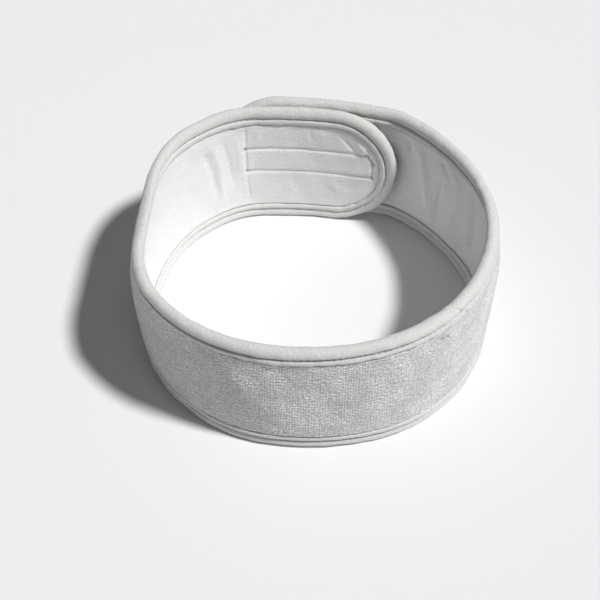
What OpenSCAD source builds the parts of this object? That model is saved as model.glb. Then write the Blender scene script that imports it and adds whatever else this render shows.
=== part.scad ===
// Terry headband, closed into a ring by hook and loop behind the head.
// The ring stands on its lower edge with +Z up. Its front faces -Y, the lapped ends are at +Y,
// and the origin is on the floor under the middle of the whole outline.

/* [Band] */
// Width of the band, which is the height of the standing ring
band_w = 70; // [60:1:84]
// Radius of the round left and right sides, at mid thickness
side_r = 79; // [74:1:95]
// Radius of the flatter front
front_r = 117; // [97:1:140]
// Radius of the flattened back, where the two ends lap
back_r = 209; // [175:1:250]
// Radius of the tight corner at the back left
corner_r = 49; // [41:1:58]
// Outward lean of the whole wall, in degrees
flare = 1.9; // [0:0.1:3]
// Further lean towards the back left, where the soft wall slumps, in degrees
slump = 6.5; // [0:0.1:8]
// How far the left side is pressed in towards the head
left_press = 6; // [0:0.5:8]
// How much further its rim is tucked in, and its hem let out
left_tuck = 3.5; // [0:0.5:5]
// How far it bows out again at mid height
left_bow = 5.5; // [0:0.5:7]
// How far the right side bows out at mid height
right_bow = 5; // [0:0.5:7]

/* [Layers] */
// Thickness of one terry panel, base cloth and loops
terry_t = 1.9; // [1.5:0.1:2.4]
// Extra fullness of a free terry face at mid height
puff = 0.6; // [0:0.1:1]
// Thickness of the foam interlining
core_t = 0.8; // [0.6:0.1:1]
// Air between one layer and the next
layer_gap = 0.1; // [0.05:0.05:0.15]

/* [Binding] */
// Half thickness of the rolled edge
roll_r = 3; // [2.6:0.1:3.4]
// Folded cloth of the roll, measured through its side
binding_t = 1.1; // [0.9:0.1:1.2]
// Depth of the stitched groove below the edge
groove_d = 5.6; // [5:0.1:6.5]
// Depth of the binding's free lip below the edge
lip_d = 8.6; // [8:0.1:9.5]
// Thickness of the sewing thread
thread_t = 0.4; // [0.3:0.1:0.5]

/* [Closure] */
// Length of each hook or loop tape
tape_l = 71; // [58:1:78]
// Width of each tape
tape_w = 16; // [12:1:17]
// Space from the tip of an end to its tape
tape_inset = 12; // [12:0.5:14]
// Height of the middle of the tapes above mid height
tape_rise = 4; // [0:0.5:4]
// Base cloth of either tape
tape_base = 0.4; // [0.3:0.1:0.5]
// Pile of the loop tape, above its base
loop_pile = 0.6; // [0.5:0.1:0.8]
// Hooks of the hook tape, above their base
hook_pile = 0.7; // [0.5:0.1:0.8]
// Air left between the hooks and the loops
tape_gap = 0.3; // [0.3:0.05:0.5]

/* [Hidden] */

terry_c = [0.93, 0.93, 0.92];
core_c = [0.96, 0.93, 0.84];
binding_c = [0.98, 0.98, 0.97];
thread_c = [0.88, 0.88, 0.87];
loop_c = [0.95, 0.95, 0.96];
hook_c = [0.9, 0.9, 0.93];

mid = band_w / 2;
tape_mid = mid + tape_rise;
// Faces of the layers, measured outwards from mid thickness
core_face = core_t / 2;
terry_back = core_face + layer_gap;
terry_face = terry_back + terry_t;
// A tape spans the flats of the face below it, so it lies a little clear of them
TAPE_EASE = 0.1;
tape_seat = terry_face + layer_gap + TAPE_EASE;
loop_face = tape_seat + tape_base + loop_pile;
hook_face = tape_seat + tape_base + hook_pile;
// How far the outer end lies outside the inner end in the lap
lap_step = loop_face + tape_gap + hook_face;

// Directions, in degrees about the ring, at which the curve of the wall changes
INNER_TIP = 71;
BACK = 73;
CORNER = 91;
LEFT = 120;
FRONT = 260;
RIGHT = 285;
GATHER = 385;
STEP_OUT = 414;
OUTER_TIP = 476;
SLUMP_DIR = 116;
// Directions between which the left side is pressed in and the right side bows out
LEFT_FROM = 131;
LEFT_TO = 212;
RIGHT_FROM = 337;
RIGHT_TO = 395;
// Directions of the three cuts where the wall hinges, and the margin of the fourth past the round end
INNER_CUT = 128;
SIDE_CUT = 335;
FLAP_CUT = 430;
TIP_MARGIN = 2;

function turn(a) = [cos(a), sin(a)];

// Centres of the arcs, each tangent to the last. The two arcs that gather the wall in and step it
// out have the radii that make the outer end run at one distance from the inner end.
left_c = [0, 0];
front_c = left_c + (side_r - front_r) * turn(FRONT);
right_c = front_c + (front_r - side_r) * turn(RIGHT);
corner_c = left_c + (side_r - corner_r) * turn(LEFT);
back_c = corner_c + (corner_r - back_r) * turn(CORNER);
gather_col = turn(STEP_OUT) - turn(GATHER);
step_col = turn(BACK) - turn(STEP_OUT);
closing = back_c - right_c - side_r * turn(GATHER) + (back_r + lap_step) * turn(BACK);
closing_det = cross(gather_col, step_col);
gather_r = cross(closing, step_col) / closing_det;
step_r = cross(gather_col, closing) / closing_det;
gather_c = right_c + (side_r - gather_r) * turn(GATHER);
step_c = gather_c + (gather_r - step_r) * turn(STEP_OUT);

// Every arc of the wall from the inner tip to the outer tip: first direction, last direction, centre, radius
ARCS = [
    [INNER_TIP, CORNER, back_c, back_r],
    [CORNER, LEFT, corner_c, corner_r],
    [LEFT, FRONT, left_c, side_r],
    [FRONT, RIGHT, front_c, front_r],
    [RIGHT, GATHER, right_c, side_r],
    [GATHER, STEP_OUT, gather_c, gather_r],
    [STEP_OUT, 360 + BACK, step_c, step_r],
    [360 + BACK, 360 + CORNER, back_c, back_r + lap_step],
    [360 + CORNER, OUTER_TIP, corner_c, corner_r + lap_step]];
function arc_len(arc) = arc[3] * (arc[1] - arc[0]) * PI / 180;
// Length along the wall at which each arc starts, and the wall's whole length
arc_start = [for (i = 0, s = 0; i <= len(ARCS); s = i < len(ARCS) ? s + arc_len(ARCS[i]) : s, i = i + 1) s];
wall_l = arc_start[len(ARCS)];

// The arc that holds a place s along the wall, and the wall's direction there
function arc_at(s) = max([0, for (i = [1 : len(ARCS) - 1]) if (s >= arc_start[i]) i]);
function heading(s) = let (i = arc_at(s)) ARCS[i][0] + (s - arc_start[i]) / ARCS[i][3] * 180 / PI;
function along(i, a) = arc_start[i] + arc_len([ARCS[i][0], a, 0, ARCS[i][3]]);
inner_cut = along(2, INNER_CUT);
side_cut = along(4, SIDE_CUT);
flap_cut = along(6, FLAP_CUT);
tip_cut = wall_l - mid - TIP_MARGIN;

// Stations along the wall, close enough for its curve: at most 10 mm and 7 degrees apart
STATION_L = 10;
STATION_DEG = 7;
function steps(arc) = ceil(max(arc_len(arc) / STATION_L, (arc[1] - arc[0]) / STATION_DEG));
stations = [for (i = [0 : len(ARCS) - 1]) let (n = steps(ARCS[i])) for (k = [0 : n - 1])
    arc_start[i] + arc_len(ARCS[i]) * k / n];
NEAR = 1.5;
function span(from, to) = [from, for (s = stations) if (s > from + NEAR && s < to - NEAR) s, to];

// A point of the wall: s along it, z above the floor, out from mid thickness
function lean(a) = tan(flare) + tan(slump) * cos(a - SLUMP_DIR);
// A smooth hump between two directions, and how far the soft sides stand out, from up = -1 at the hem
// to 1 at the rim
function hump(a, from, to) = a <= from || a >= to ? 0 : pow(sin(180 * (a - from) / (to - from)), 2);
function sway(a, up) = let (left = hump(a, LEFT_FROM, LEFT_TO), right = hump(a, RIGHT_FROM, RIGHT_TO))
    (left_bow * left + right_bow * right) * (1 - up * up) - left * (left_press + left_tuck * up);
function raw(s, z, out) = let (arc = ARCS[arc_at(s)], a = heading(s))
    arc[2] + turn(a) * (arc[3] + out + lean(a) * (z - mid) + sway(a, (z - mid) / mid));
rim_points = [for (s = stations) for (z = [roll_r, mid, band_w - roll_r]) raw(s, z, roll_r)];
function middle(v) = (min(v) + max(v)) / 2;
origin = [middle([for (p = rim_points) p.x]), middle([for (p = rim_points) p.y])];
function place(s, z, out) = let (p = raw(s, z, out) - origin) [p.x, p.y, z];

// ---- Profiles, as [out, depth below the edge] ----
// A closed profile is two chains of points that run side by side from its start to its finish.
// The layers stop this far inside the fold of the binding
EDGE_GAP = 0.8;
edge_d = binding_t + EDGE_GAP;
pinch = roll_r - binding_t - 0.15;
shoulder_d = lip_d + 1.2;
groove_half = 0.4;
groove_out = roll_r - 0.6;
rest_half = 0.8;
function reversed(v) = [for (i = [len(v) - 1 : -1 : 0]) v[i]];
function on_side(profile, side) = [for (chain = profile) [for (p = chain) [side * p.x, p.y]]];
// Share of the fullness at a depth: none at the binding, all at mid height
function swell(d) = sin(90 * max(0, (d - shoulder_d) / (mid - shoulder_d)));
field_d = [for (k = [1 : 2]) shoulder_d + (mid - shoulder_d) * k / 3];

// The rolled binding: its outside from lip to lip round the edge, and its inside
function whole(half) = concat(half, [for (p = reversed(half)) if (p.x > 0) [-p.x, p.y]]);
roll_outside = concat(
    [[roll_r - 0.15, lip_d], [roll_r, groove_d + 1.3], [groove_out, groove_d + groove_half],
     [groove_out, groove_d - groove_half], [roll_r, groove_d - 1.3]],
    [for (a = [0, 30, 60]) [roll_r * cos(a), roll_r * (1 - sin(a))]],
    [[rest_half, 0]]);
inner_r = roll_r - binding_t;
roll_inside = [[inner_r, lip_d], [inner_r, groove_d], [inner_r, roll_r],
    [inner_r * 0.7, binding_t + inner_r * 0.3], [0, binding_t]];
binding_profile = [whole(roll_outside), whole(roll_inside)];

// A flat-sided thread lying in the groove, on the outer face (side 1) or the inner face (side -1)
THREAD_SEAT = 0.05;
function thread_profile(side) = let (near = groove_out + THREAD_SEAT, h = thread_t / 2)
    on_side([for (out = [near + thread_t, near]) [[out, groove_d + h], [out, groove_d - h]]], side);

// Half of a layer: its outer chain from the edge to mid height, and its inner chain the same way.
// full is 1 where a terry face is free to puff out and 0 where a tape holds it flat.
function terry_half(full) = [
    concat([[pinch - 0.5, edge_d], [pinch, roll_r], [pinch, groove_d], [pinch, lip_d]],
        [for (d = concat([shoulder_d], field_d, [mid])) [terry_face + full * puff * swell(d), d]]),
    [for (d = concat([edge_d, shoulder_d], field_d, [mid])) [terry_back, d]]];
core_half = [for (out = [core_face, -core_face])
    [for (d = concat([edge_d, shoulder_d], field_d, [mid])) [out, d]]];

// ---- Solids carried round the wall ----
// The triangles between two chains of point numbers
function zipper(a, b, i = 0, j = 0) = i == len(a) - 1 && j == len(b) - 1 ? []
    : j == len(b) - 1 || (i < len(a) - 1 && (i + 1) * (len(b) - 1) <= (j + 1) * (len(a) - 1))
    ? concat([[a[i], a[i + 1], b[j]]], zipper(a, b, i + 1, j))
    : concat([[a[i], b[j + 1], b[j]]], zipper(a, b, i, j + 1));
function numbers(first, count) = [for (k = [0 : count - 1]) first + k];
function turned(faces, side) = side > 0 ? faces : [for (f = faces) reversed(f)];

// Two triangles between points a, b of one ring and c, d of the next. Layers that face each other are
// cut along the same diagonal, so that a warped patch of one never reaches into the other.
function patch(a, b, c, d, rising) = rising ? [[a, b, d], [a, d, c]] : [[a, b, c], [b, d, c]];

// The faces of a sweep of k rings: the walls between them and a cap on the first and the last
function sweep_faces(k, na, nb) = let (m = na + nb) concat(
    [for (i = [0 : k - 2]) for (j = [0 : m - 1])
        let (a = i * m + j, b = i * m + (j + 1) % m) each patch(a, b, a + m, b + m, j < na)],
    turned(zipper(numbers(0, na), reversed(numbers(na, nb))), -1),
    zipper(numbers((k - 1) * m, na), reversed(numbers((k - 1) * m + na, nb))));

// A solid along the stations ss, whose profile [out, z] is given at each s. side is -1 where the
// profile is a mirror image.
module run(ss, profile, side = 1) {
    first = profile(ss[0]);
    points = [for (s = ss) let (p = profile(s)) for (q = concat(p[0], reversed(p[1]))) place(s, q.y, q.x)];
    polyhedron(points, turned(sweep_faces(len(ss), len(first[0]), len(first[1])), side));
}
function at_top(profile) = [for (chain = profile) [for (p = chain) [p.x, band_w - p.y]]];
function whole_layer(half) = [for (chain = half)
    concat(chain, [for (i = [len(chain) - 2 : -1 : 0]) [chain[i].x, band_w - chain[i].y]])];

// The U-shaped path round one end, as [u, z, inward u, inward z]: u is the distance from the tip.
// It runs along the bottom from the cut, round the half circle and back along the top.
TIP_STEPS = 14;
function u_path(us) = concat(
    [for (u = reversed(us)) [u, 0, 0, 1]],
    [for (k = [1 : TIP_STEPS - 1]) let (a = -90 + 180 * k / TIP_STEPS)
        [mid - mid * cos(a), mid + mid * sin(a), cos(a), -sin(a)]],
    [for (u = us) [u, band_w, 0, -1]]);

// Ends are built from their own tip: end 1 is the inner end at s = 0, end -1 the outer end
function at_end(end, u, z, out) = place(end > 0 ? u : wall_l - u, z, out);
function on_path(end, q, p) = at_end(end, q[0] + q[2] * p.y, q[1] + q[3] * p.y, p.x);
function end_stations(end, cut) = end > 0 ? span(mid, cut)
    : [for (s = reversed(span(cut, wall_l - mid))) wall_l - s];

// A closed profile [out, depth] carried round the edge of an end
module rim(end, cut, profile, side = 1) {
    path = u_path(end_stations(end, cut));
    points = [for (q = path) for (p = concat(profile[0], reversed(profile[1]))) on_path(end, q, p)];
    polyhedron(points, turned(sweep_faces(len(path), len(profile[0]), len(profile[1])), side * end));
}

// A layer that fills an end: its half profile goes round the U, and its long edges meet at mid height
module layer_end(end, cut, half, side = 1) {
    us = end_stations(end, cut);
    path = u_path(us);
    n = len(us);
    k = len(path);
    // Each ring runs up the outer chain's free points from mid height to the edge, then the inner's back
    outer_n = len(half[0]) - 1;
    inner_n = len(half[1]) - 1;
    m = outer_n + inner_n;
    ring = concat([for (j = [outer_n - 1 : -1 : 0]) half[0][j]], [for (j = [0 : inner_n - 1]) half[1][j]]);
    // The points at mid height are shared by the bottom run, the half circle and the top run
    function seam(i) = i < n ? i : i >= k - n ? k - 1 - i : n - 1;
    function outer_mid(i) = k * m + seam(i);
    function inner_mid(i) = k * m + n + seam(i);
    points = concat(
        [for (q = path) for (p = ring) on_path(end, q, p)],
        [for (chain = half) for (u = reversed(us)) at_end(end, u, mid, chain[len(chain) - 1].x)]);
    walls = turned([for (i = [0 : k - 2]) for (j = [0 : m - 2])
        let (a = i * m + j) each patch(a, a + 1, a + m, a + m + 1, j < outer_n)], -1);
    outer_fan = [for (i = [0 : k - 2]) let (a = i * m, c = outer_mid(i), d = outer_mid(i + 1))
        each concat([[c, a + m, a]], c == d ? [] : [[c, d, a + m]])];
    inner_fan = [for (i = [0 : k - 2]) let (a = i * m + m - 1, c = inner_mid(i), d = inner_mid(i + 1))
        each concat([[c, a, a + m]], c == d ? [] : [[c, a + m, d]])];
    top = (k - 1) * m;
    cut_face = zipper(
        concat(reversed(numbers(0, outer_n)), [outer_mid(0)], numbers(top, outer_n)),
        concat(numbers(outer_n, inner_n), [inner_mid(0)], reversed(numbers(top + outer_n, inner_n))));
    polyhedron(points, turned(concat(walls, outer_fan, inner_fan, turned(cut_face, -1)), -side * end));
}

// A line of thread round three or four sides of a tape: from is open when the tape goes on past the cut
module thread_frame(from, to, open_end, near, far) {
    ss = span(from, to);
    n = len(ss);
    w = thread_t;
    z0 = tape_mid - tape_w / 2 + SEAM_IN;
    z1 = tape_mid + tape_w / 2 - SEAM_IN;
    inside_from = open_end < 0 ? from : from + w;
    inside_to = open_end > 0 ? to : to - w;
    function inner_s(i) = i == 0 ? inside_from : i == n - 1 ? inside_to : ss[i];
    low = [for (i = [0 : n - 1]) [ss[i], z0, inner_s(i), z0 + w]];
    high = [for (i = [n - 1 : -1 : 0]) [ss[i], z1, inner_s(i), z1 - w]];
    // start so that an open end is where the path begins and stops
    path = open_end < 0 ? concat(low, high) : concat(high, low);
    k = len(path);
    shut = open_end == 0;
    points = [for (q = path) each [place(q[0], q[1], near), place(q[0], q[1], far),
        place(q[2], q[3], far), place(q[2], q[3], near)]];
    walls = [for (i = [0 : k - (shut ? 1 : 2)]) let (next = (i + 1) % k) for (j = [0 : 3])
        let (a = i * 4 + j, b = i * 4 + (j + 1) % 4, c = next * 4 + (j + 1) % 4, d = next * 4 + j)
        each [[a, b, c], [a, c, d]]];
    caps = shut ? [] : [[3, 2, 1, 0], [for (j = [0 : 3]) (k - 1) * 4 + j]];
    polyhedron(points, turned(concat(walls, caps), sign(far - near)));
}

// ---- The layers of the wall, between two cuts ----
// The fullness of a free face fades out towards the lap over this length
FADE_L = 60;
function fade(s, from) = min(1, max(0, abs(s - from) / FADE_L));
module panel_run(from, to, side, full) {
    run(span(from, to), function(s) on_side(whole_layer(terry_half(full(s))), side), side);
}
module core_run(from, to) {
    run(span(from, to), function(s) whole_layer(core_half));
}
module top_run(from, to, profile, side = 1) {
    run(span(from, to), function(s) at_top(profile), side);
}
module bottom_run(from, to, profile, side = 1) {
    run(span(from, to), function(s) profile, -side);
}
module panel_end(end, cut, side, full) {
    layer_end(end, cut, on_side(terry_half(full), side), side);
}

// ---- Hook and loop tapes ----
// Margin of bare base cloth beside the pile, and the line of the sewing from the tape's edge
PILE_IN = 2.2;
PILE_RISE = 0.3;
SEAM_IN = 0.9;
LOW_PILE = 0.05;
function tape_profile(pile, side) = let (low = tape_mid - tape_w / 2, high = tape_mid + tape_w / 2,
        base = tape_seat + tape_base, top = base + pile)
    on_side([[[base, low], [base, low + PILE_IN], [top, low + PILE_IN],
        [top, high - PILE_IN], [base, high - PILE_IN], [base, high]],
        [[tape_seat, low], [tape_seat, high]]], side);
// The pile is pressed flat at a sewn end, under the thread. cut_at names the end that is a cut instead.
module tape(from, to, pile, side, cut_at = 0) {
    full_from = cut_at < 0 ? from : from + PILE_IN;
    full_to = cut_at > 0 ? to : to - PILE_IN;
    rise = PILE_RISE;
    ss = concat(cut_at < 0 ? [] : [from, full_from - rise], span(full_from, full_to),
        cut_at > 0 ? [] : [full_to + rise, to]);
    run(ss, function(s) tape_profile(s < full_from || s > full_to ? LOW_PILE : pile, side), side);
}
THREAD_NEAR = 0.1;
module face_thread(from, to, open_end, side) {
    near = tape_seat + tape_base + THREAD_NEAR;
    thread_frame(from, to, open_end, side * near, side * (near + thread_t));
}
module back_thread(from, to, open_end, side, full) {
    near = terry_face + full * puff + THREAD_NEAR;
    thread_frame(from, to, open_end, side * near, side * (near + thread_t));
}
loop_from = tape_inset;
loop_to = tape_inset + tape_l;
hook_to = wall_l - tape_inset;
hook_from = hook_to - tape_l;

// ---- Inner end: from the inner tip to the first cut ----
module inner_end_outer_terry() {
    color(terry_c) panel_end(1, inner_cut, 1, 0);
}
module inner_end_core() {
    color(core_c) layer_end(1, inner_cut, core_half);
}
module inner_end_inner_terry() {
    color(terry_c) panel_end(1, inner_cut, -1, 1);
}
module inner_end_binding() {
    color(binding_c) rim(1, inner_cut, binding_profile);
}
module inner_end_outer_edge_thread() {
    color(thread_c) rim(1, inner_cut, thread_profile(1));
}
module inner_end_inner_edge_thread() {
    color(thread_c) rim(1, inner_cut, thread_profile(-1), -1);
}
module loop_tape() {
    color(loop_c) tape(loop_from, loop_to, loop_pile, 1);
}
module loop_tape_thread() {
    color(thread_c) face_thread(loop_from + SEAM_IN, loop_to - SEAM_IN, 0, 1);
}
module loop_tape_back_thread() {
    color(thread_c) back_thread(loop_from + SEAM_IN, loop_to - SEAM_IN, 0, -1, 1);
}

// ---- Band: the left side and the front ----
module band_outer_terry() {
    color(terry_c) panel_run(inner_cut, side_cut, 1, function(s) fade(s, inner_cut));
}
module band_core() {
    color(core_c) core_run(inner_cut, side_cut);
}
module band_inner_terry() {
    color(terry_c) panel_run(inner_cut, side_cut, -1, function(s) 1);
}
module band_top_binding() {
    color(binding_c) top_run(inner_cut, side_cut, binding_profile);
}
module band_bottom_binding() {
    color(binding_c) bottom_run(inner_cut, side_cut, binding_profile);
}
module band_outer_top_thread() {
    color(thread_c) top_run(inner_cut, side_cut, thread_profile(1));
}
module band_outer_bottom_thread() {
    color(thread_c) bottom_run(inner_cut, side_cut, thread_profile(1));
}
module band_inner_top_thread() {
    color(thread_c) top_run(inner_cut, side_cut, thread_profile(-1), -1);
}
module band_inner_bottom_thread() {
    color(thread_c) bottom_run(inner_cut, side_cut, thread_profile(-1), -1);
}

// ---- Right side: from the front right to the lap ----
module right_side_outer_terry() {
    color(terry_c) panel_run(side_cut, flap_cut, 1, function(s) 1);
}
module right_side_core() {
    color(core_c) core_run(side_cut, flap_cut);
}
module right_side_inner_terry() {
    color(terry_c) panel_run(side_cut, flap_cut, -1, function(s) fade(s, flap_cut));
}
module right_side_top_binding() {
    color(binding_c) top_run(side_cut, flap_cut, binding_profile);
}
module right_side_bottom_binding() {
    color(binding_c) bottom_run(side_cut, flap_cut, binding_profile);
}
module right_side_outer_top_thread() {
    color(thread_c) top_run(side_cut, flap_cut, thread_profile(1));
}
module right_side_outer_bottom_thread() {
    color(thread_c) bottom_run(side_cut, flap_cut, thread_profile(1));
}
module right_side_inner_top_thread() {
    color(thread_c) top_run(side_cut, flap_cut, thread_profile(-1), -1);
}
module right_side_inner_bottom_thread() {
    color(thread_c) bottom_run(side_cut, flap_cut, thread_profile(-1), -1);
}

// ---- Flap: the outer end where it lies over the inner end ----
module flap_outer_terry() {
    color(terry_c) panel_run(flap_cut, tip_cut, 1, function(s) 1);
}
module flap_core() {
    color(core_c) core_run(flap_cut, tip_cut);
}
module flap_inner_terry() {
    color(terry_c) panel_run(flap_cut, tip_cut, -1, function(s) 0);
}
module flap_top_binding() {
    color(binding_c) top_run(flap_cut, tip_cut, binding_profile);
}
module flap_bottom_binding() {
    color(binding_c) bottom_run(flap_cut, tip_cut, binding_profile);
}
module flap_outer_top_thread() {
    color(thread_c) top_run(flap_cut, tip_cut, thread_profile(1));
}
module flap_outer_bottom_thread() {
    color(thread_c) bottom_run(flap_cut, tip_cut, thread_profile(1));
}
module flap_inner_top_thread() {
    color(thread_c) top_run(flap_cut, tip_cut, thread_profile(-1), -1);
}
module flap_inner_bottom_thread() {
    color(thread_c) bottom_run(flap_cut, tip_cut, thread_profile(-1), -1);
}
module flap_hook_tape() {
    color(hook_c) tape(hook_from, tip_cut, hook_pile, -1, 1);
}
module flap_hook_tape_thread() {
    color(thread_c) face_thread(hook_from + SEAM_IN, tip_cut, 1, -1);
}
module flap_hook_tape_back_thread() {
    color(thread_c) back_thread(hook_from + SEAM_IN, tip_cut, 1, 1, 1);
}

// ---- Flap tip: the rounded outer end ----
module flap_tip_outer_terry() {
    color(terry_c) panel_end(-1, tip_cut, 1, 1);
}
module flap_tip_core() {
    color(core_c) layer_end(-1, tip_cut, core_half);
}
module flap_tip_inner_terry() {
    color(terry_c) panel_end(-1, tip_cut, -1, 0);
}
module flap_tip_binding() {
    color(binding_c) rim(-1, tip_cut, binding_profile);
}
module flap_tip_outer_edge_thread() {
    color(thread_c) rim(-1, tip_cut, thread_profile(1));
}
module flap_tip_inner_edge_thread() {
    color(thread_c) rim(-1, tip_cut, thread_profile(-1), -1);
}
module flap_tip_hook_tape() {
    color(hook_c) tape(tip_cut, hook_to, hook_pile, -1, -1);
}
module flap_tip_hook_tape_thread() {
    color(thread_c) face_thread(tip_cut, hook_to - SEAM_IN, -1, -1);
}
module flap_tip_hook_tape_back_thread() {
    color(thread_c) back_thread(tip_cut, hook_to - SEAM_IN, -1, 1, 1);
}

inner_end_outer_terry();
inner_end_core();
inner_end_inner_terry();
inner_end_binding();
inner_end_outer_edge_thread();
inner_end_inner_edge_thread();
loop_tape();
loop_tape_thread();
loop_tape_back_thread();
band_outer_terry();
band_core();
band_inner_terry();
band_top_binding();
band_bottom_binding();
band_outer_top_thread();
band_outer_bottom_thread();
band_inner_top_thread();
band_inner_bottom_thread();
right_side_outer_terry();
right_side_core();
right_side_inner_terry();
right_side_top_binding();
right_side_bottom_binding();
right_side_outer_top_thread();
right_side_outer_bottom_thread();
right_side_inner_top_thread();
right_side_inner_bottom_thread();
flap_outer_terry();
flap_core();
flap_inner_terry();
flap_top_binding();
flap_bottom_binding();
flap_outer_top_thread();
flap_outer_bottom_thread();
flap_inner_top_thread();
flap_inner_bottom_thread();
flap_hook_tape();
flap_hook_tape_thread();
flap_hook_tape_back_thread();
flap_tip_outer_terry();
flap_tip_core();
flap_tip_inner_terry();
flap_tip_binding();
flap_tip_outer_edge_thread();
flap_tip_inner_edge_thread();
flap_tip_hook_tape();
flap_tip_hook_tape_thread();
flap_tip_hook_tape_back_thread();
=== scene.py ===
import math

import bpy
import numpy as np
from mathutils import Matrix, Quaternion, Vector


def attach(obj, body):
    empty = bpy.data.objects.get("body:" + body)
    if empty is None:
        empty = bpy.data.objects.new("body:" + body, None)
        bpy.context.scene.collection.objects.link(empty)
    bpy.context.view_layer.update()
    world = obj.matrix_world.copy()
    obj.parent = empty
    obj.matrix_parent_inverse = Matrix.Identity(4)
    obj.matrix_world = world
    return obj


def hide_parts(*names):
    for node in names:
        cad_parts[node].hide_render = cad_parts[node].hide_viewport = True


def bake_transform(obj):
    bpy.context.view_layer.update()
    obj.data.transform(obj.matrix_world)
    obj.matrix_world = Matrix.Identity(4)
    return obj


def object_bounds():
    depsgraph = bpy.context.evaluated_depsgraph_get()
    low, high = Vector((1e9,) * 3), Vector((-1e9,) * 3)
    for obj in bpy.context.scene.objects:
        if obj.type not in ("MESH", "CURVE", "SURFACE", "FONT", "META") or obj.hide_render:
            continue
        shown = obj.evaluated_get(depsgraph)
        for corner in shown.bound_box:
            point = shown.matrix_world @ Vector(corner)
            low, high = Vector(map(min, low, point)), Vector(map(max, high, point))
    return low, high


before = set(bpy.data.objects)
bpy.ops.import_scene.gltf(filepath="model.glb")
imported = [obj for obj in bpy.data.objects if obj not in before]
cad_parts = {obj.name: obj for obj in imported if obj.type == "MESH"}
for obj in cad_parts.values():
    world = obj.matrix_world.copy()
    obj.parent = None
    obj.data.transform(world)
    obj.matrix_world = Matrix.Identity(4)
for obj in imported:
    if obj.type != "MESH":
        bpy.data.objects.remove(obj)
cad_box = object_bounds()

# ---- Camera ----
# A long lens a little over half a metre away, in front of the ring and looking down into it. It is
# turned slightly about its own line of sight, as a hand-held one is.
ELEVATION = math.radians(49.67)
CAMERA_DISTANCE = 0.6414
LENS_MM = 76.57
ROLL_ANGLE = math.radians(1.14)
height = cad_box[1].z - cad_box[0].z
ring_centre = Vector((-0.0257, -0.00253, height / 2))
AIM_RIGHT, AIM_DOWN = 0.01715, 0.01626
aim = ring_centre + Vector((AIM_RIGHT, -AIM_DOWN * math.sin(ELEVATION), -AIM_DOWN * math.cos(ELEVATION)))
camera_data = bpy.data.cameras.new("camera")
camera_data.lens = LENS_MM
camera = bpy.data.objects.new("camera", camera_data)
camera.location = ring_centre + CAMERA_DISTANCE * Vector((0, -math.cos(ELEVATION), math.sin(ELEVATION)))
line_of_sight = (aim - camera.location).to_track_quat("-Z", "Y")
camera.rotation_euler = (line_of_sight @ Quaternion((0, 0, 1), ROLL_ANGLE)).to_euler()
bpy.context.collection.objects.link(camera)
bpy.context.scene.camera = camera

# ---- Table and light ----
# A seamless white table. One soft lamp far off on the right throws the shadow, and a dim pale room
# fills it.
KEY_DIRECTION = Vector((0.57, -0.165, 1)).normalized()
KEY_STRENGTH, KEY_SOFTNESS = 3.15, math.radians(7)
ROOM_LIGHT = 0.12
TABLE_HALF = 4
TABLE_COLOUR = (0.86, 0.86, 0.865)
table_mesh = bpy.data.meshes.new("table")
table_mesh.from_pydata([(x, y, 0) for x, y in ((-TABLE_HALF, -TABLE_HALF), (TABLE_HALF, -TABLE_HALF),
                                               (TABLE_HALF, TABLE_HALF), (-TABLE_HALF, TABLE_HALF))],
                       [], [(0, 1, 2, 3)])
table = bpy.data.objects.new("table", table_mesh)
bpy.context.collection.objects.link(table)
table_paint = bpy.data.materials.new("table")
table_paint.use_nodes = True
table_shader = table_paint.node_tree.nodes["Principled BSDF"]
table_shader.inputs["Base Color"].default_value = (*TABLE_COLOUR, 1)
table_shader.inputs["Roughness"].default_value = 0.9
table_shader.inputs["Specular IOR Level"].default_value = 0.1
table_mesh.materials.append(table_paint)

lamp_data = bpy.data.lights.new("key", "SUN")
lamp_data.angle = KEY_SOFTNESS
lamp_data.energy = KEY_STRENGTH
lamp = bpy.data.objects.new("key", lamp_data)
lamp.location = KEY_DIRECTION
lamp.rotation_euler = (-KEY_DIRECTION).to_track_quat("-Z", "Y").to_euler()
bpy.context.collection.objects.link(lamp)
room = bpy.data.worlds.new("room")
room.use_nodes = True
room.node_tree.nodes["Background"].inputs["Color"].default_value = (1, 1, 1, 1)
room.node_tree.nodes["Background"].inputs["Strength"].default_value = ROOM_LIGHT
bpy.context.scene.world = room
bpy.context.scene.view_settings.view_transform = "Standard"

# ---- Outer and inner terry ----
# Two long panels of cotton terry with uncut loops outside. Each lies on the foam and ends inside the
# bound edge. The wall they follow is a chain of tangent arcs, so every layer is placed by three
# numbers: s along the wall from the inner tip, z above the table and out from mid thickness, in mm.
MM = 0.001
WIDTH = height / MM
MID = WIDTH / 2
SIDE_R, FRONT_R, BACK_R, CORNER_R = 79, 117, 209, 49
LAP_STEP = 7.6
FLARE, SLUMP, SLUMP_DIRECTION = math.tan(math.radians(1.9)), math.tan(math.radians(6.5)), 116
INNER_TIP, BACK, CORNER, LEFT, FRONT, RIGHT, GATHER, STEP_OUT, OUTER_TIP = (
    71, 73, 91, 120, 260, 285, 385, 414, 476)


def turn(degrees):
    return np.stack([np.cos(np.radians(degrees)), np.sin(np.radians(degrees))], -1)


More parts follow.
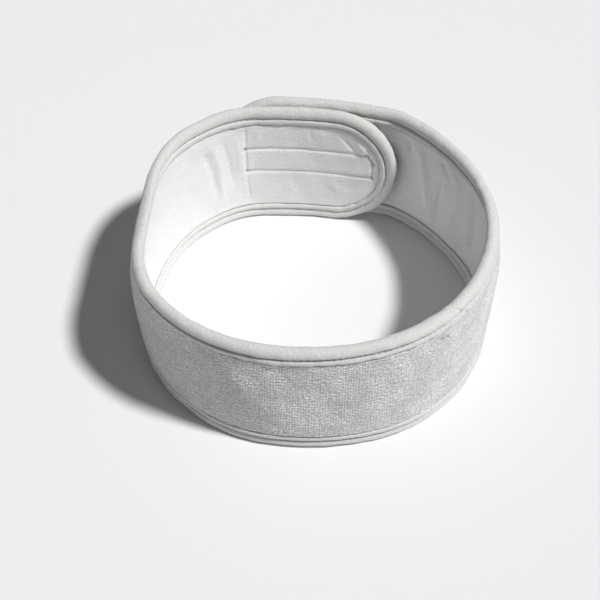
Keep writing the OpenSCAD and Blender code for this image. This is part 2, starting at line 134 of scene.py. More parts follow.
front_c = (SIDE_R - FRONT_R) * turn(FRONT)
right_c = front_c + (FRONT_R - SIDE_R) * turn(RIGHT)
corner_c = (SIDE_R - CORNER_R) * turn(LEFT)
back_c = corner_c + (CORNER_R - BACK_R) * turn(CORNER)
gather_r, step_r = np.linalg.solve(
    np.stack([turn(STEP_OUT) - turn(GATHER), turn(BACK) - turn(STEP_OUT)], -1),
    back_c - right_c - SIDE_R * turn(GATHER) + (BACK_R + LAP_STEP) * turn(BACK))
gather_c = right_c + (SIDE_R - gather_r) * turn(GATHER)
step_c = gather_c + (gather_r - step_r) * turn(STEP_OUT)
ARCS = [(INNER_TIP, CORNER, back_c, BACK_R), (CORNER, LEFT, corner_c, CORNER_R),
        (LEFT, FRONT, np.zeros(2), SIDE_R), (FRONT, RIGHT, front_c, FRONT_R),
        (RIGHT, GATHER, right_c, SIDE_R), (GATHER, STEP_OUT, gather_c, gather_r),
        (STEP_OUT, 360 + BACK, step_c, step_r), (360 + BACK, 360 + CORNER, back_c, BACK_R + LAP_STEP),
        (360 + CORNER, OUTER_TIP, corner_c, CORNER_R + LAP_STEP)]
arc_first = np.array([arc[0] for arc in ARCS], float)
arc_centre = np.array([arc[2] for arc in ARCS])
arc_radius = np.array([arc[3] for arc in ARCS], float)
arc_start = np.concatenate([[0], np.cumsum([math.radians(b - a) * r for a, b, _, r in ARCS])])
WALL = arc_start[-1]

# The soft left side is pressed in, and both sides bow out at mid height
LEFT_PRESS, LEFT_TUCK, LEFT_BOW, RIGHT_BOW = 6, 3.5, 5.5, 5
LEFT_SPAN, RIGHT_SPAN = (131, 212), (337, 395)


def hump(heading, span):
    """1 in the middle between two directions, 0 outside them, and smooth."""
    return np.sin(np.pi * np.clip((heading - span[0]) / (span[1] - span[0]), 0, 1)) ** 2


def unplaced(s, z, out):
    """A place on the wall, in mm, before the plan is centred."""
    s, z, out = np.broadcast_arrays(s, z, out)
    i = np.clip(np.searchsorted(arc_start, s, "right") - 1, 0, len(ARCS) - 1)
    heading = arc_first[i] + np.degrees((s - arc_start[i]) / arc_radius[i])
    up = (z - MID) / MID
    lean = MID * (FLARE + SLUMP * np.cos(np.radians(heading - SLUMP_DIRECTION)))
    left, right = hump(heading, LEFT_SPAN), hump(heading, RIGHT_SPAN)
    sway = (LEFT_BOW * left + RIGHT_BOW * right) * (1 - up * up) - left * (LEFT_PRESS + LEFT_TUCK * up)
    plan = arc_centre[i] + turn(heading) * (arc_radius[i] + out + lean * up + sway)[..., None]
    return np.concatenate([plan, z[..., None]], -1)


# The plan is centred on the middle of the CAD box, as the frame is
ROLL = 3.0
rim = unplaced(np.arange(0, WALL, 1.0)[:, None], np.array([ROLL, MID, WIDTH - ROLL]), ROLL)
rim = rim.reshape(-1, 3)
to_frame = np.array([(cad_box[0][k] + cad_box[1][k]) / 2 / MM - (rim[:, k].min() + rim[:, k].max()) / 2
                     for k in (0, 1)] + [0])


def place(s, z, out):
    """The point of the frame at s, z and out."""
    return (unplaced(s, z, out) + to_frame) * MM


# The ring is made in four lengths, which meet at plain places away from the bends. Each row has the
# name, start and end of a length, its two bodies, and where it turns from one to the other. For the
# tip, that span lies beyond its hinge.
TIP_BEND = (588, 614)
LENGTHS = [("under_end", 0, 260, "inner_end", "band", 92, 126),
           ("front", 260, 472, "band", "right_side", 391, 431),
           ("gather", 472, 562, "right_side", "flap", 522, 543.5),
           ("over_end", 562, WALL, "flap", "flap_tip", *TIP_BEND)]
# The outer terry is painted darker than the inner, mostly in the colour between its loops. That is painted
# shade, since both faces may be the same white cloth
OUTER_COLOUR, OUTER_PAINTED_SHADE = (0.90, 0.90, 0.895), (0.26, 0.26, 0.26)
INNER_COLOUR, INNER_PAINTED_SHADE = (0.95, 0.95, 0.94), (0.80, 0.80, 0.795)
STEP = 0.65
# A panel's back, its face near the binding and in the middle, and its face where the binding holds it
TERRY_BACK, TERRY_FACE, PUFF, PINCH = 0.5, 2.4, 0.6, 1.75
# Distances in from the edge: where a panel starts, where the binding ends, and where the puff starts
TERRY_EDGE, LIP, SHOULDER = 4.6, 8.6, 9.8
# The lapped faces lie flat, and the puff grows away from them over this length
INNER_CUT, OUTER_CUT, FADE = 109, 533, 60
RUMPLE, LOW_PUFF = 0.11, 0.5
LOOP_PITCH = 1.9
LOOP_HEIGHT = {1: 0.34, -1: 0.07}
TAPE_FROM, TAPE_TO, TAPE_LOW, TAPE_HIGH = 12, 83, 31, 47
SEAM_IN = 0.9
SEAM_PULL, SEAM_WIDTH = 0.75, 1.0


def smooth(low, high, x):
    t = np.clip((x - low) / (high - low), 0, 1)
    return t * t * (3 - 2 * t)


def depth(s, z):
    """How far a place on the wall is from the nearest edge. Both ends are half circles."""
    near = np.minimum(s, WALL - s)
    return np.where(near < MID, MID - np.hypot(MID - near, z - MID), np.minimum(z, WIDTH - z))


def waves(seed, lengths, x, y):
    """Even, aimless unevenness from -1 to 1 or so, with humps about as long as each of lengths."""
    luck = np.random.default_rng(seed)
    total = 0
    for length in lengths:
        for _ in range(5):
            way, phase = luck.uniform(0, 2 * math.pi, 2)
            reach = length * luck.uniform(0.75, 1.3)
            total = total + np.sin(2 * math.pi * (x * math.cos(way) + y * math.sin(way)) / reach + phase)
    return total / math.sqrt(2.5 * len(lengths))


def from_segment(s, z, a, b):
    """Distance to the line from a to b."""
    along = np.array(b, float) - a
    t = np.clip(((s - a[0]) * along[0] + (z - a[1]) * along[1]) / (along @ along), 0, 1)
    return np.hypot(s - a[0] - t * along[0], z - a[1] - t * along[1])


def fold(s, z, line, height, width):
    """A ridge, or a crease if height is negative, that dies away at the two ends of its line."""
    total = 0
    for a, b in zip(line, line[1:]):
        total = np.maximum(total, np.exp(-(from_segment(s, z, a, b) / width) ** 2))
    ends = smooth(0, 5, np.hypot(s - line[0][0], z - line[0][1])) * smooth(
        0, 5, np.hypot(s - line[-1][0], z - line[-1][1]))
    return height * total * (0.25 + 0.75 * ends)


# Every fold: the face, its line along the wall, its height and its width
FOLDS = [(-1, [(106, 53), (103, 40), (101, 22)], -0.7, 2.2), (-1, [(101, 56), (98, 38), (99, 16)], 0.8, 2.6),
         (-1, [(94, 55), (92, 40), (90, 23)], -0.45, 1.8), (-1, [(87, 57), (86, 44), (85, 30)], 0.35, 2.0),
         (-1, [(81.5, 61), (82, 47)], -0.7, 0.9), (-1, [(82, 30), (81, 12)], -0.4, 0.9),
         (-1, [(75, 60), (76, 50)], 0.3, 1.6),
         (-1, [(48, 60), (46, 50)], -0.35, 1.3), (-1, [(42, 60), (41, 52)], 0.3, 1.6),
         (-1, [(31, 56), (22, 46)], -0.6, 1.1), (-1, [(25, 56), (15, 45)], 0.45, 1.5),
         (-1, [(36, 27), (30, 20)], 0.35, 2.0), (-1, [(20, 27), (27, 20)], -0.3, 1.6),
         (-1, [(60, 27), (57, 17)], 0.25, 2.5),
         (-1, [(524, 60), (520, 49)], -1.1, 1.6), (-1, [(516, 57), (509, 40), (503, 20)], 1.2, 3.0),
         (-1, [(501, 62), (492, 49), (497, 44), (497, 10)], -1.2, 2.2),
         (-1, [(487, 60), (484, 40), (487, 14)], 1.1, 3.6), (-1, [(472, 62), (468, 18)], -1.2, 2.4),
         (-1, [(461, 58), (457, 22)], 0.9, 3.2), (-1, [(448, 58), (450, 20)], -0.6, 2.6),
         (1, [(205, 50), (215, 20)], -0.25, 5), (1, [(238, 56), (262, 28)], -0.3, 6),
         (1, [(268, 50), (298, 24)], 0.5, 7), (1, [(300, 54), (325, 26)], -0.5, 7),
         (1, [(348, 48), (352, 18)], 0.3, 6), (1, [(180, 56), (186, 20)], 0.3, 6)]


def tape_outline(mirrored):
    """The sewn line round a tape, in (s, z). The corner that would meet the round end is cut off."""
    a, b, low, high = TAPE_FROM + SEAM_IN, TAPE_TO - SEAM_IN, TAPE_LOW + SEAM_IN, TAPE_HIGH - SEAM_IN
    line = [(b, low), (b, high), (a + 3.5, high), (a, high - 5), (a, low)]
    return [(WALL - s, z) for s, z in line] if mirrored else line


def terry_height(s, z, side):
    """How far a terry face stands out from mid thickness."""
    d = depth(s, z)
    if side > 0:
        fade = np.maximum(np.clip((s - INNER_CUT) / FADE, 0, 1), smooth(470, 500, s))
    else:
        fade = np.maximum(np.clip((OUTER_CUT - s) / FADE, 0, 1), smooth(110, 90, s))
    full = np.sin(np.pi / 2 * np.clip((d - SHOULDER) / (MID - SHOULDER), 0, 1))
    height = PINCH + (TERRY_FACE - PINCH) * smooth(LIP - 0.3, LIP + 1.1, d) + PUFF * fade * full
    inside = smooth(LIP, LIP + 5, d)
    height = height + inside * fade * RUMPLE * waves(3 + side, (14, 23), s, z)
    # Low down, the outer terry stands nearly level with the lip
    if side > 0:
        low = smooth(0.9 * MID, 0.35 * MID, z)
        height = height + LOW_PUFF * fade * low * smooth(LIP - 0.3, LIP + 0.9, d)
    for face, line, rise, width in FOLDS:
        if face == side:
            height = height + inside * fold(s, z, line, rise, width)
    # The tape's sewing goes through all the layers, and draws the far face in along its line
    outline = tape_outline(side > 0)
    for a, b in zip(outline, outline[1:] + outline[:1]):
        height = height - SEAM_PULL * np.exp(-(from_segment(s, z, a, b) / SEAM_WIDTH) ** 2)
    return height + smooth(LIP, LIP + 0.8, d) * LOOP_HEIGHT[side] * loops(s, z, side)


def loops(s, z, side):
    """Cotton loops, from 0 between them to 1. They stand in rows along the band, bent and crowded as
    they happen to be, and washed flat in places."""
    sway_s, sway_z = (waves(seed + side, (5, 9, 16), s, z) for seed in (41, 51))
    across, along = np.pi * (z + 0.5 * sway_z) / LOOP_PITCH, np.pi * (s + 1.1 * sway_s) / LOOP_PITCH
    row = np.abs(np.sin(across)) ** 0.8
    return row * (0.45 + 0.55 * np.sin(along + np.pi / 2 * np.floor(across / np.pi)) ** 2) * (
        0.85 + 0.12 * waves(61 + side, (12, 30), s, z))


def facing(s, z, height_of, side):
    """The normals of a face, from the slope of its height."""
    def at(s, z):
        return place(s, z, side * height_of(s, z))

    near = 0.3
    normals = np.cross(at(s + near, z) - at(s - near, z), at(s, z + near) - at(s, z - near))
    return side * normals / np.linalg.norm(normals, axis=-1, keepdims=True)


def ready_mesh(name, points, faces, normals, lie):
    """A smooth mesh whose normals are given, so that it meets the next length without a line.
    lie holds each point's place in the flat cloth, in mm, and the weave follows it."""
    mesh = bpy.data.meshes.new(name)
    mesh.from_pydata(points.tolist(), [], faces)
    mesh.shade_smooth()
    flat = mesh.attributes.new("lie", "FLOAT_VECTOR", "POINT")
    flat.data.foreach_set("vector", np.asarray(lie, np.float32).ravel())
    if normals is not None:
        mesh.normals_split_custom_set_from_vertices(normals.tolist())
    piece = bpy.data.objects.new(name, mesh)
    bpy.context.collection.objects.link(piece)
    return piece


def grid_normals(points, outward):
    """Normals of a grid of points, turned to the side that outward names."""
    normals = np.cross(np.gradient(points, axis=0), np.gradient(points, axis=1))
    normals /= np.linalg.norm(normals, axis=-1, keepdims=True) + 1e-12
    return normals * outward


def lowest_corner(values):
    """The lowest of the values at each cell's four corners."""
    return np.minimum.reduce([values[:-1, :-1], values[1:, :-1], values[1:, 1:], values[:-1, 1:]])


def slab(name, s, z, kept, face, back, side, front_normals=None, pile=None):
    """A closed layer over the kept cells of the grid (s, z), from out = face down to out = back. pile
    goes into the third number of lie."""
    shape = s.shape
    number = np.arange(s.size).reshape(shape)
    rows, columns = np.nonzero(kept)
    corner = [number[rows, columns], number[rows + 1, columns],
              number[rows + 1, columns + 1], number[rows, columns + 1]]
    quads = np.stack(corner, -1)
    fronts = quads if side > 0 else quads[:, ::-1]
    # A cell's wall stands wherever the next cell isn't kept
    padded = np.pad(kept, 1)
    walls = []
    for dr, dc, i, j in ((-1, 0, 3, 0), (1, 0, 1, 2), (0, -1, 0, 1), (0, 1, 2, 3)):
        open_side = ~padded[rows + 1 + dr, columns + 1 + dc]
        a, b = corner[i][open_side], corner[j][open_side]
        if side < 0:
            a, b = b, a
        walls.append(np.stack([b, a, a + s.size, b + s.size], -1))
    faces = np.concatenate([fronts, fronts[:, ::-1] + s.size] + walls)
    used, faces = np.unique(faces, return_inverse=True)
    faces = faces.reshape(-1, 4)
    front, rear = place(s, z, side * face), place(s, z, side * back)
    points = np.concatenate([front.reshape(-1, 3), rear.reshape(-1, 3)])[used]
    if front_normals is None:
        front_normals = grid_normals(front, side)
    normals = np.concatenate([n.reshape(-1, 3) for n in (front_normals, grid_normals(rear, -side))])[used]
    raised = np.zeros(s.size) if pile is None else pile.ravel()
    lie = np.stack([np.tile(s.ravel(), 2), np.tile(z.ravel(), 2), np.tile(raised, 2)], -1)[used]
    return ready_mesh(name, points, faces.tolist(), normals, lie)


class Value:
    """A shader value. Python's own signs work on it, and each adds a Math node."""

    def __init__(self, paint, out):
        self.paint, self.out = paint, out

    def work(self, operation, *values):
        return self.paint.node("ShaderNodeMath", {"operation": operation}, dict(enumerate(values)))

    def __add__(self, other):
        return self.work("ADD", self, other)

    def __sub__(self, other):
        return self.work("SUBTRACT", self, other)

    def __rsub__(self, other):
        return self.work("SUBTRACT", other, self)

    def __mul__(self, other):
        return self.work("MULTIPLY", self, other)

    def __pow__(self, other):
        return self.work("POWER", self, other)

    __radd__ = __add__
    __rmul__ = __mul__


class Paint:
    """A material under way: its Principled shader, and one method for every other node."""

    def __init__(self, name, **constants):
        self.material = bpy.data.materials.new(name)
        self.material.use_nodes = True
        self.tree = self.material.node_tree
        self.shader = self.tree.nodes["Principled BSDF"]
        for socket, value in constants.items():
            self.shader.inputs[socket.replace("_", " ").title()].default_value = value

    def join(self, socket, value):
        if isinstance(value, Value):
            self.tree.links.new(value.out, socket)
        else:
            socket.default_value = value

    def node(self, kind, settings, inputs, output=0):
        made = self.tree.nodes.new(kind)
        for name, value in settings.items():
            setattr(made, name, value)
        for socket, value in inputs.items():
            self.join(made.inputs[socket], value)
        return Value(self, made.outputs[output])

    def lie(self):
        """The place in the flat cloth, in mm."""
        return self.node("ShaderNodeAttribute", {"attribute_name": "lie"}, {}, "Vector")

    def stretched(self, vector, factors):
        return self.node("ShaderNodeVectorMath", {"operation": "MULTIPLY"}, {0: vector, 1: factors})

    def turned(self, vector, degrees):
        return self.node("ShaderNodeVectorRotate", {"rotation_type": "Z_AXIS"},
                         {"Vector": vector, "Angle": math.radians(degrees)})

    def noise(self, vector, size, detail=2):
        return self.node("ShaderNodeTexNoise", {},
                         {"Vector": vector, "Scale": 1 / size, "Detail": detail})

    def mixed(self, share, first, second):
        return self.node("ShaderNodeMix", {"data_type": "RGBA"}, {0: share, 6: first, 7: second}, 2)

    def range(self, value, low, high, to_low=0, to_high=1):
        return self.node("ShaderNodeMapRange", {}, {0: value, 1: low, 2: high, 3: to_low, 4: to_high})

    def finish(self, colour, height, reach):
        """colour goes to the shader, and height, from 0 to 1, makes it uneven by reach mm."""
        self.join(self.shader.inputs["Base Color"], colour)
        bump = self.node("ShaderNodeBump", {}, {"Distance": reach * MM, "Height": height})
        self.join(self.shader.inputs["Normal"], bump)
        return self.material


def terry_paint(name, light, dark, rows):
    """rows is how far the loops stand in clear ribs, from 0, as after much washing, to 1."""
    paint = Paint(name, roughness=0.95, sheen_weight=0.35, sheen_roughness=0.6)
    paint.shader.inputs["Specular IOR Level"].default_value = 0.25
    lie = paint.lie()
    raised = paint.node("ShaderNodeSeparateXYZ", {}, {0: lie}, "Z")
    cloth = paint.stretched(lie, (1, 1, 0))
    rounds = paint.node("ShaderNodeTexVoronoi", {"feature": "F1"},
                        {"Vector": paint.stretched(cloth, (0.8, 1, 1)), "Scale": 1 / 1.2,
                         "Randomness": 0.8})
    ribs = paint.node("ShaderNodeTexWave", {"wave_type": "BANDS", "bands_direction": "X"},
                      {"Vector": cloth, "Scale": 0.314 / 1.25, "Distortion": 1.6, "Detail": 1.5,
                       "Detail Scale": 1.2}, "Fac")
    fuzz = paint.noise(cloth, 0.35, 3)
    height = (paint.range(rounds, 0.05, 0.75, 1, 0) * 0.25 + ribs * (0.1 * rows) + fuzz * 0.3
              + raised * (0.5 * rows))
    washed = paint.range(paint.noise(cloth, 26, 2), 0.3, 0.7, 0, 0.06)
    # Painted shade: the colour goes to the dark one where the loops and ribs are low, between them, and
    # washed adds darker patches at random
    shade = paint.range(height, 0.2, 0.75, 0.8, 0) + washed
    return paint.finish(paint.mixed(shade, (*light, 1), (*dark, 1)), height, 0.3 + 0.3 * rows)


terry_materials = {1: terry_paint("outer_terry", OUTER_COLOUR, OUTER_PAINTED_SHADE, 1),
                   -1: terry_paint("inner_terry", INNER_COLOUR, INNER_PAINTED_SHADE, 0.4)}
grid_s, grid_z = np.meshgrid(np.linspace(0, WALL, round(WALL / STEP) + 1),
                             np.linspace(0, WIDTH, round(WIDTH / STEP) + 1), indexing="ij")
cell_s = (grid_s[:-1, :-1] + grid_s[1:, 1:]) / 2
in_layer = lowest_corner(depth(grid_s, grid_z)) > TERRY_EDGE


def crossing(piece, first, second, start, end):
    place(start, MID, 0).tolist()
    place(end, MID, 0).tolist()
    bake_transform(piece)


def stands_for(first, second, ending):
    """Hides the CAD nodes of both bodies whose names end so, which the new piece stands in for."""
    nodes = [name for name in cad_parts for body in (first, second)
             if name[:len(body) + 1] == body + "_" and name[len(body) + 1:] in ending]
    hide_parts(*nodes)


for layer, side in (("outer_terry", 1), ("inner_terry", -1)):
    height_map = terry_height(grid_s, grid_z, side)
    face_normals = facing(grid_s, grid_z, lambda s, z: terry_height(s, z, side), side)
    for name, start, end, first, second, bend_from, bend_to in LENGTHS:
        # Each length ends on a row of the grid, which the next one starts from
        rows = np.arange(np.searchsorted(grid_s[:, 0], start - STEP / 2),
                         np.searchsorted(grid_s[:, 0], end - STEP / 2) + 1)
        rows = rows[rows < len(grid_s)]
        piece = slab(f"{name}_{layer}", grid_s, grid_z,
                     in_layer & (cell_s > grid_s[rows[0]][0]) & (cell_s < grid_s[rows[-1]][0]),
                     height_map, TERRY_BACK, side, face_normals, loops(grid_s, grid_z, side))
        piece.data.materials.append(terry_materials[side])
        stands_for(first, second, [layer])
        crossing(piece, first, second, bend_from, bend_to)

# ---- Foam interlining ----
# A thin sheet of soft cream foam between the terry panels. It keeps the band round and springy, and
# its edges end inside the binding with the rest.
FOAM_COLOUR, FOAM_CELL = (0.83, 0.76, 0.58), (0.6, 0.5, 0.33)
FOAM_HALF, FOAM_EDGE, FOAM_STEP = 0.4, 2.0, 2


def foam_paint():
    paint = Paint("foam", roughness=0.9)
    lie = paint.lie()
    cells = paint.node("ShaderNodeTexVoronoi", {"feature": "F1"}, {"Vector": lie, "Scale": 1.6})
    height = cells + 0.4 * paint.noise(lie, 0.2, 3)
    # Painted shade: the pores, low in the bump, get the darker FOAM_CELL colour
    shade = paint.range(cells, 0.1, 0.8, 1, 0)
    return paint.finish(paint.mixed(shade, (*FOAM_COLOUR, 1), (*FOAM_CELL, 1)), height, 0.25)


foam_material = foam_paint()
foam_s, foam_z = grid_s[::FOAM_STEP, ::FOAM_STEP], grid_z[::FOAM_STEP, ::FOAM_STEP]
in_foam = lowest_corner(depth(foam_s, foam_z)) > FOAM_EDGE
foam_cell_s = (foam_s[:-1, :-1] + foam_s[1:, 1:]) / 2
uneven = 0.05 * waves(21, (6, 11), foam_s, foam_z)
for name, start, end, first, second, bend_from, bend_to in LENGTHS:
    piece = slab(f"{name}_foam", foam_s, foam_z, in_foam & (foam_cell_s > start) & (foam_cell_s < end),
                 FOAM_HALF + uneven, -FOAM_HALF, 1)
    piece.data.materials.append(foam_material)
    stands_for(first, second, ["core"])
    crossing(piece, first, second, bend_from, bend_to)

# ---- Rolled binding ----
# One strip of brushed cotton jersey, cut on the bias, goes once round the whole edge. It is folded over
# the layers, rolled into a full cord-like rim, and sewn in a groove that leaves a flat lip below it.
BINDING_COLOUR, BINDING_SHADE = (0.87, 0.87, 0.85), (0.50, 0.50, 0.49)
LAID, STRIP = 2 * (WALL - 2 * MID) + 2 * math.pi * MID, 25
RING_STEP = 0.65
STITCH_PITCH = 2.9
GROOVE = 5.35
JOIN_AT = 381 - MID
CLOTH = 1.1
# Small dents that bends have left in the roll: the place along it and round it, the width and the depth
DENTS = ((146, 1.5, 1.6, 0.5), (128, 2.0, 2.2, 0.3), (173, 2.5, 2.5, 0.3), (432, 2, 2.0, 0.35),
         (460, -2, 2.4, 0.35), (484, 1, 1.6, 0.3))


def edge(q, d):
    """(s, z) of a place d in from the edge and q along it. q runs along the top from the inner end,
    round the outer end, back along the bottom and round the inner end."""
    straight = WALL - 2 * MID
    q = np.mod(q, LAID)
    arc = math.pi * MID
    top, tip, bottom = q < straight, q < straight + arc, q < 2 * straight + arc
    angle = np.where(tip, (q - straight) / MID, (q - 2 * straight - arc) / MID)
    across = (MID - d) * np.sin(angle)
    up = (MID - d) * np.cos(angle)
    s = np.select([top, tip, bottom], [MID + q, WALL - MID + across, WALL - MID - (q - straight - arc)],
                  MID - across)
    z = np.where(top, WIDTH - d, np.where(tip, MID + up, np.where(bottom, d, MID - up)))
    return s, z


def half_profile():
    """Half of the strip's section as (out, depth): over the roll, the groove and the lip, and back
    inside."""
    roll = [(ROLL * math.cos(a), ROLL - ROLL * math.sin(a))
            for a in np.radians((*range(90, -41, -10), -47))]
    lip = [(1.94, GROOVE), (2.25, 5.65), (2.75, 5.9), (3.06, 6.35), (3.14, 6.9), (3.12, 7.5),
           (3.0, 8.1), (2.68, 8.55), (2.2, 8.55)]
    under = [(1.88, 8.0), (1.85, 7.0), (1.85, 6.0), (1.82, 5.0)]
    r = ROLL - CLOTH
    inside = [(r * math.cos(a), ROLL - r * math.sin(a)) for a in np.radians((-20, 0, 20, 40, 60, 90))]
    return roll + lip, under + inside


roll_and_lip, inside = half_profile()
mirror = [[(-out, d) for out, d in reversed(half)] for half in (roll_and_lip, inside)]
section = np.array(mirror[0][:-1] + roll_and_lip + inside + mirror[1][1:])
free_points = len(mirror[0]) - 1 + len(roll_and_lip)
ring_q = np.linspace(0, LAID, round(LAID / RING_STEP), endpoint=False)


def binding_points():
    """Every ring of the strip, with its lumps, puckers and the slanting join where its ends meet."""
    out, d = np.broadcast_arrays(section[:, 0], section[:, 1])
    tangent = np.roll(section, -1, 0) - np.roll(section, 1, 0)
    normal = np.stack([-tangent[:, 1], tangent[:, 0]], -1)
    normal /= np.linalg.norm(normal, axis=1, keepdims=True)
    if (normal[len(mirror[0]) - 1] @ (0, -1)) < 0:
        normal = -normal
    walk = np.concatenate([[0], np.cumsum(np.linalg.norm(np.diff(section, axis=0), axis=1))])
    walk -= walk[len(mirror[0]) - 1]
    q, w = ring_q[:, None], walk[None, :]
    free = (np.arange(len(section)) < free_points)[None, :]
    roundabout = LAID / (2 * math.pi)
    x, y = roundabout * np.sin(q / roundabout), w + roundabout * np.cos(q / roundabout)
    lumps = (0.10 * waves(51, (22, 37), x, y) + 0.05 * waves(52, (7, 11), x, y)
             + 0.02 * waves(53, (2.2, 3.5), x, y))
    at_groove = np.exp(-((d - GROOVE) / 1.1) ** 2)[None, :]
    stitching = np.cos(2 * math.pi * q / STITCH_PITCH + 0.4 * np.sin(q / 17))
    pucker = -0.13 * at_groove * (0.5 + 0.5 * stitching)
    edge_ripple = 0.10 * np.exp(-((d - LIP) / 1.0) ** 2)[None, :] * waves(54, (6, 10), x, y)
    slant = q - JOIN_AT - 0.9 * w
    join = -0.32 * np.exp(-(slant / 0.6) ** 2) + 0.22 * np.exp(-((slant - 1.8) / 1.3) ** 2)
    dents = sum(-size * np.exp(-((q - at - 0.3 * w) / wide) ** 2) * np.exp(-((w - round_at) / 3) ** 2)
                for at, round_at, wide, size in DENTS)
    swelling = np.where(free, lumps + pucker + edge_ripple + join + dents, 0)
    shift = swelling[..., None] * normal[None]
    # The strip doesn't sink below the table
    s, z = edge(q + 0 * w, d[None, :] + shift[..., 1])
    z = np.maximum(z, 0)
    return place(s, z, out[None, :] + shift[..., 0]), s, z, walk


strip_points, strip_s, strip_z, strip_walk = binding_points()
strip_normals = np.cross(np.roll(strip_points, -1, 0) - np.roll(strip_points, 1, 0),
                         np.roll(strip_points, -1, 1) - np.roll(strip_points, 1, 1))
strip_normals /= np.linalg.norm(strip_normals, axis=-1, keepdims=True) + 1e-12
top_normal = strip_normals[len(ring_q) // 8, len(mirror[0]) - 1]
if top_normal[2] < 0:
    strip_normals = -strip_normals


# The groove outside is painted darker: a painted shadow for the deep line below the roll
groove_painted_shadow = 1.1 * np.exp(-((section[:, 1] - GROOVE + 0.1) / 0.45) ** 2) * (section[:, 0] > 0) * (
    np.arange(len(section)) < free_points)


def strip_mesh(name, runs):
    """The strip between pairs of ring numbers, closed at each end."""
    around = len(section)
    points, normals, lie, faces = [], [], [], []
    for start, end in runs:
        rings = np.arange(start, end + 1) % len(ring_q)
        base = sum(len(part) for part in points)
        number = base + np.arange(len(rings) * around).reshape(len(rings), around)
        a, b = number[:-1], number[1:]
        quads = np.stack([a, np.roll(a, -1, 1), np.roll(b, -1, 1), b], -1).reshape(-1, 4)
        faces += quads.tolist() + [number[0][::-1].tolist(), number[-1].tolist()]
        points.append(strip_points[rings].reshape(-1, 3))
        normals.append(strip_normals[rings].reshape(-1, 3))
        along = (start + np.arange(len(rings)))[:, None] * (LAID / len(ring_q))
        flat = np.broadcast_arrays(along, strip_walk[None, :], groove_painted_shadow[None, :])
        lie.append(np.stack(flat, -1).reshape(-1, 3))
    return ready_mesh(name, np.concatenate(points), faces, np.concatenate(normals), np.concatenate(lie))


def binding_paint():
    paint = Paint("binding", roughness=0.9, sheen_weight=0.5, sheen_roughness=0.45)
    paint.shader.inputs["Specular IOR Level"].default_value = 0.2
    lie = paint.turned(paint.stretched(paint.lie(), (1, 1, 0)), 45)
    weave = [paint.node("ShaderNodeTexWave", {"wave_type": "BANDS", "bands_direction": way},
                        {"Vector": lie, "Scale": 0.314 / 0.55, "Distortion": 0.8, "Detail": 1}, "Fac")
             for way in ("X", "Y")]
    nap = paint.noise(lie, 0.5, 4)
    rubbed = paint.range(paint.noise(lie, 1.1, 3), 0.3, 0.7, 0, 0.4)
    height = nap * 0.8 + weave[0] * 0.12 + weave[1] * 0.12
    # groove is the painted shadow below the roll, and the low nap gets painted shade; rubbed adds worn
    # patches at random
    groove = paint.node("ShaderNodeSeparateXYZ", {}, {0: paint.lie()}, "Z")
    shade = paint.range(height, 0.35, 0.7, 0.5, 0) + rubbed + groove
    return paint.finish(paint.mixed(shade, (*BINDING_COLOUR, 1), (*BINDING_SHADE, 1)), height, 0.16)


binding_material = binding_paint()


def ring_at(q):
    return round(q / (LAID / len(ring_q)))


for name, start, end, first, second, bend_from, bend_to in LENGTHS:
    top = (ring_at(start - MID), ring_at(end - MID))
    bottom = (ring_at(LAID - math.pi * MID - (end - MID)),
              ring_at(LAID - math.pi * MID - (start - MID)))
    if start == 0:
        runs = [(bottom[0], len(ring_q) + top[1])]
    elif end == WALL:
        runs = [(top[0], bottom[1])]
    else:
        runs = [top, bottom]
    piece = strip_mesh(f"{name}_binding", runs)
    piece.data.materials.append(binding_material)
    stands_for(first, second, ["binding", "top_binding", "bottom_binding"])
    crossing(piece, first, second, bend_from, bend_to)
    length = sum(b - a for a, b in runs) * LAID / len(ring_q)
    length * MM

# ---- Sewing of the binding ----
# A straight lockstitch in white polyester lies in the groove below the roll, on both faces. Each stitch
# is a short arch of thread whose ends dive into the cloth.
THREAD_COLOUR, THREAD_SHADE = (0.80, 0.80, 0.78), (0.64, 0.64, 0.62)
THREAD = 0.19
STITCH_SIDES, STITCH_RINGS = 6, 6


def stitch_mesh(name, stitches, side, level):
    """Stitches, each ((s, z) of its start, (s, z) of its end), arched over the cloth at level."""
    if not len(stitches):
        return None
    ends = np.array(stitches)
    count = len(ends)
    t = np.linspace(0, 1, STITCH_RINGS)[None, :, None]
    sz = ends[:, None, 0] * (1 - t) + ends[:, None, 1] * t
    arch = level - 0.25 + 0.28 * np.sin(np.pi * (0.12 + 0.76 * t[..., 0]))
    girth = THREAD * (0.55 + 0.45 * np.sin(np.pi * (0.1 + 0.8 * t[..., 0])))
    along = ends[:, 1] - ends[:, 0]
    along /= np.linalg.norm(along, axis=1, keepdims=True)
    across = np.stack([-along[:, 1], along[:, 0]], -1)
    turn_round = np.arange(STITCH_SIDES) * 2 * math.pi / STITCH_SIDES
    c, h = np.cos(turn_round), np.sin(turn_round)
    s = sz[..., None, 0] + (girth[..., None] * c) * across[:, None, None, 0]
    z = sz[..., None, 1] + (girth[..., None] * c) * across[:, None, None, 1]
    out = arch[..., None] + girth[..., None] * h
    points = place(s, z, side * out).reshape(-1, 3)
    number = np.arange(count * STITCH_RINGS * STITCH_SIDES).reshape(count, STITCH_RINGS, STITCH_SIDES)
    a, b = number[:, :-1], number[:, 1:]
    quads = np.stack([a, np.roll(a, -1, 2), np.roll(b, -1, 2), b], -1).reshape(-1, 4)
    caps = [ring.tolist() for ring in number[:, 0, ::-1]] + [ring.tolist() for ring in number[:, -1]]
    if side < 0:
        quads, caps = quads[:, ::-1], [cap[::-1] for cap in caps]
    twist = np.broadcast_to(np.arange(STITCH_RINGS)[None, :, None] * 0.5, s.shape)
    lie = np.stack([twist, np.broadcast_to(turn_round, s.shape), s], -1).reshape(-1, 3)
    return ready_mesh(name, points, quads.tolist() + caps, None, lie)


